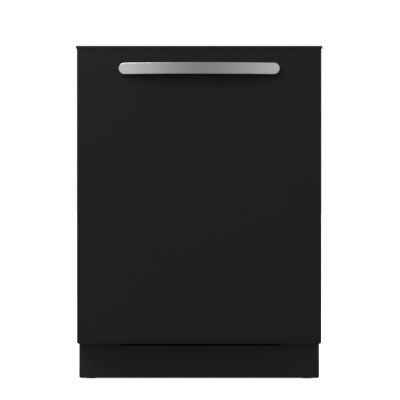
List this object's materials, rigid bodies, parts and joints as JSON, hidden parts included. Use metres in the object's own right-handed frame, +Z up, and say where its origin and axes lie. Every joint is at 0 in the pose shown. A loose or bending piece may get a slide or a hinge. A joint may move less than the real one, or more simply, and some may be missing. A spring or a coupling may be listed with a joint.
{
  "type": "dishwasher",
  "caption": "Built-in dishwasher with a flat drop-down door, a bowed bar handle, hidden top controls, a recessed toe panel, pull-out racks and spray arms.",
  "frame": {"origin": "on the floor, at the centre of the machine's width and of its depth from handle to drain spigot", "axes": "+X to the right seen from the front, the door faces -Y, +Z up"},
  "size_m": [0.606, 0.654, 0.825],
  "materials": {
    "black_enamel": "satin enamel on steel, fine orange peel",
    "console_black": "satin moulded plastic",
    "key_black": "polished key tops",
    "handle_silver": "fine satin silver",
    "tub_steel": "bright annealed stainless sheet",
    "zinc_steel": "zinc plated",
    "spring_steel": "oiled spring wire",
    "grey_plastic": "moulded polypropylene",
    "light_plastic": "moulded polypropylene, off-white",
    "rack_coating": "nylon-coated wire",
    "basket_grey": "moulded basket",
    "seal_rubber": "soft EPDM",
    "hose_grey": "corrugated hose",
    "blanket_felt": "needled felt",
    "pad_felt": "bitumen felt",
    "motor_metal": "die cast",
    "element_sheath": "heat-tinted sheath",
    "board_green": "circuit board"
  },
  "bodies": {
    "cabinet": {"tub_wrapper": "tub_steel", "tub_floor": "tub_steel", "tub_front_frame": "zinc_steel", "tub_gasket": "seal_rubber", "insulation_blanket": "blanket_felt", "latch_striker": "zinc_steel", "mounting_brackets": "zinc_steel", "base_frame": "zinc_steel", "kick_plate": "black_enamel", "kick_plate_screws": "zinc_steel", "sump": "grey_plastic", "filter_plate": "tub_steel", "heating_element": "element_sheath", "feed_tube": "grey_plastic", "wash_pump_housing": "light_plastic", "wash_motor": "motor_metal", "drain_pump": "light_plastic", "drain_hose": "hose_grey", "inlet_valve": "light_plastic", "inlet_hose": "hose_grey", "air_break": "light_plastic", "junction_box": "zinc_steel", "door_springs": "spring_steel"},
    "door": {"door_panel": "black_enamel", "door_liner": "tub_steel", "console": "console_black", "control_board": "board_green", "latch_housing": "light_plastic", "door_handle": "handle_silver", "handle_screws": "zinc_steel", "hinge_arms": "zinc_steel", "door_sound_pad": "pad_felt", "dispenser_body": "light_plastic"},
    "lower_rack": {"lower_rack": "rack_coating"},
    "upper_rack": {"upper_rack": "rack_coating", "upper_rack_fittings": "grey_plastic"},
    "latch_hook": {"latch_hook": "zinc_steel"},
    "dispenser_lid": {"dispenser_lid": "grey_plastic"},
    "rinse_aid_cap": {"rinse_aid_cap": "grey_plastic"},
    "button_power": {"button_power": "key_black"},
    "button_cycle": {"button_cycle": "key_black"},
    "button_start": {"button_start": "key_black"},
    "lower_wheels_front": {"lower_wheels_front": "grey_plastic"},
    "lower_wheels_rear": {"lower_wheels_rear": "grey_plastic"},
    "folding_tines": {"folding_tines": "rack_coating"},
    "cutlery_basket": {"cutlery_basket": "basket_grey"},
    "upper_spray_arm": {"upper_spray_arm": "grey_plastic"},
    "cup_shelf": {"cup_shelf": "rack_coating"},
    "upper_rails": {"upper_rails": "tub_steel"},
    "tub_rollers": {"tub_rollers": "light_plastic"},
    "lower_spray_arm": {"lower_spray_arm": "grey_plastic"},
    "top_spray_arm": {"top_spray_arm": "grey_plastic"},
    "wash_impeller": {"wash_impeller": "light_plastic"},
    "drain_impeller": {"drain_impeller": "light_plastic"},
    "float": {"float": "grey_plastic"},
    "filter_cylinder": {"filter_cylinder": "grey_plastic"},
    "leg_right_front": {"leg_right_front": "zinc_steel"},
    "leg_left_front": {"leg_left_front": "zinc_steel"},
    "leg_right_rear": {"leg_right_rear": "zinc_steel"},
    "leg_left_rear": {"leg_left_rear": "zinc_steel"}
  },
  "joints": [
    {"name": "door_hinge", "type": "hinge", "parent": "cabinet", "child": "door", "pos_m": [0, -0.262, 0.101], "axis": [1, 0, 0], "range_deg": [0, 90], "stiffness_Nm_per_rad": 20, "springref_deg": -8.59, "deforming": ["door_springs"]},
    {"name": "lower_rack_slide", "type": "slide", "parent": "cabinet", "child": "lower_rack", "axis": [0, -1, 0], "range_m": [0, 0.165]},
    {"name": "upper_rack_slide", "type": "slide", "parent": "cabinet", "child": "upper_rack", "axis": [0, -1, 0], "range_m": [0, 0.472]},
    {"name": "upper_rails_slide", "type": "slide", "parent": "cabinet", "child": "upper_rails", "axis": [0, -1, 0], "range_m": [0, 0.236]},
    {"name": "tub_rollers_turn", "type": "hinge", "parent": "cabinet", "child": "tub_rollers", "pos_m": [0, -0.205, 0.532], "axis": [1, 0, 0], "continuous": true},
    {"name": "lower_wheels_front_turn", "type": "hinge", "parent": "lower_rack", "child": "lower_wheels_front", "pos_m": [0, -0.18, 0.1653], "axis": [1, 0, 0], "continuous": true},
    {"name": "lower_wheels_rear_turn", "type": "hinge", "parent": "lower_rack", "child": "lower_wheels_rear", "pos_m": [0, 0.18, 0.1653], "axis": [1, 0, 0], "continuous": true},
    {"name": "lower_spray_arm_spin", "type": "hinge", "parent": "cabinet", "child": "lower_spray_arm", "pos_m": [0, 0.03, 0.165], "axis": [0, 0, 1], "continuous": true},
    {"name": "upper_spray_arm_spin", "type": "hinge", "parent": "upper_rack", "child": "upper_spray_arm", "pos_m": [0, 0.02, 0.447], "axis": [0, 0, 1], "continuous": true},
    {"name": "top_spray_arm_spin", "type": "hinge", "parent": "cabinet", "child": "top_spray_arm", "pos_m": [0, 0.02, 0.767], "axis": [0, 0, 1], "continuous": true},
    {"name": "wash_impeller_spin", "type": "hinge", "parent": "cabinet", "child": "wash_impeller", "pos_m": [0.106, 0.03, 0.072], "axis": [1, 0, 0], "continuous": true},
    {"name": "drain_impeller_spin", "type": "hinge", "parent": "cabinet", "child": "drain_impeller", "pos_m": [-0.102, 0.03, 0.072], "axis": [1, 0, 0], "continuous": true},
    {"name": "float_lift", "type": "slide", "parent": "cabinet", "child": "float", "axis": [0, 0, 1], "range_m": [0, 0.012]},
    {"name": "filter_twist", "type": "hinge", "parent": "cabinet", "child": "filter_cylinder", "pos_m": [0.038, 0.03, 0.125], "axis": [0, 0, 1], "range_deg": [0, 90]},
    {"name": "leg_right_front_screw", "type": "slide", "parent": "cabinet", "child": "leg_right_front", "axis": [0, 0, -1], "range_m": [0, 0.03]},
    {"name": "leg_right_rear_screw", "type": "slide", "parent": "cabinet", "child": "leg_right_rear", "axis": [0, 0, -1], "range_m": [0, 0.03]},
    {"name": "leg_left_front_screw", "type": "slide", "parent": "cabinet", "child": "leg_left_front", "axis": [0, 0, -1], "range_m": [0, 0.03]},
    {"name": "leg_left_rear_screw", "type": "slide", "parent": "cabinet", "child": "leg_left_rear", "axis": [0, 0, -1], "range_m": [0, 0.03]},
    {"name": "latch_hook_turn", "type": "hinge", "parent": "door", "child": "latch_hook", "pos_m": [0, -0.2625, 0.8025], "axis": [1, 0, 0], "range_deg": [0, 18], "stiffness_Nm_per_rad": 0.05, "springref_deg": -17.19},
    {"name": "button_power_press", "type": "slide", "parent": "door", "child": "button_power", "axis": [0, 0, -1], "range_m": [0, 0.0012], "stiffness_N_per_m": 1500, "springref_m": -0.0006},
    {"name": "button_cycle_press", "type": "slide", "parent": "door", "child": "button_cycle", "axis": [0, 0, -1], "range_m": [0, 0.0012], "stiffness_N_per_m": 1500, "springref_m": -0.0006},
    {"name": "button_start_press", "type": "slide", "parent": "door", "child": "button_start", "axis": [0, 0, -1], "range_m": [0, 0.0012], "stiffness_N_per_m": 1500, "springref_m": -0.0006},
    {"name": "dispenser_lid_slide", "type": "slide", "parent": "door", "child": "dispenser_lid", "axis": [1, 0, 0], "range_m": [0, 0.07]},
    {"name": "rinse_aid_cap_turn", "type": "hinge", "parent": "door", "child": "rinse_aid_cap", "pos_m": [0.05, -0.231, 0.502], "axis": [0, 1, 0], "range_deg": [0, 90]},
    {"name": "folding_tines_fold", "type": "hinge", "parent": "lower_rack", "child": "folding_tines", "pos_m": [0.072, 0, 0.2034], "axis": [0, 1, 0], "range_deg": [0, 80]},
    {"name": "cutlery_basket_lift", "type": "slide", "parent": "lower_rack", "child": "cutlery_basket", "axis": [0, 0, 1], "range_m": [0, 0.08]},
    {"name": "cup_shelf_fold", "type": "hinge", "parent": "upper_rack", "child": "cup_shelf", "pos_m": [-0.24, 0, 0.548], "axis": [0, -1, 0], "range_deg": [0, 80]}
  ],
  "couplings": [
    {"joint": "lower_rack_slide", "follows": "door_hinge", "m_per_rad": 0.105},
    {"joint": "upper_rack_slide", "follows": "door_hinge", "m_per_rad": 0.3},
    {"joint": "upper_rails_slide", "follows": "door_hinge", "m_per_rad": 0.15},
    {"joint": "tub_rollers_turn", "follows": "door_hinge", "ratio": 15.464},
    {"joint": "lower_wheels_front_turn", "follows": "door_hinge", "ratio": 6.1765},
    {"joint": "lower_wheels_rear_turn", "follows": "door_hinge", "ratio": 6.1765}
  ]
}
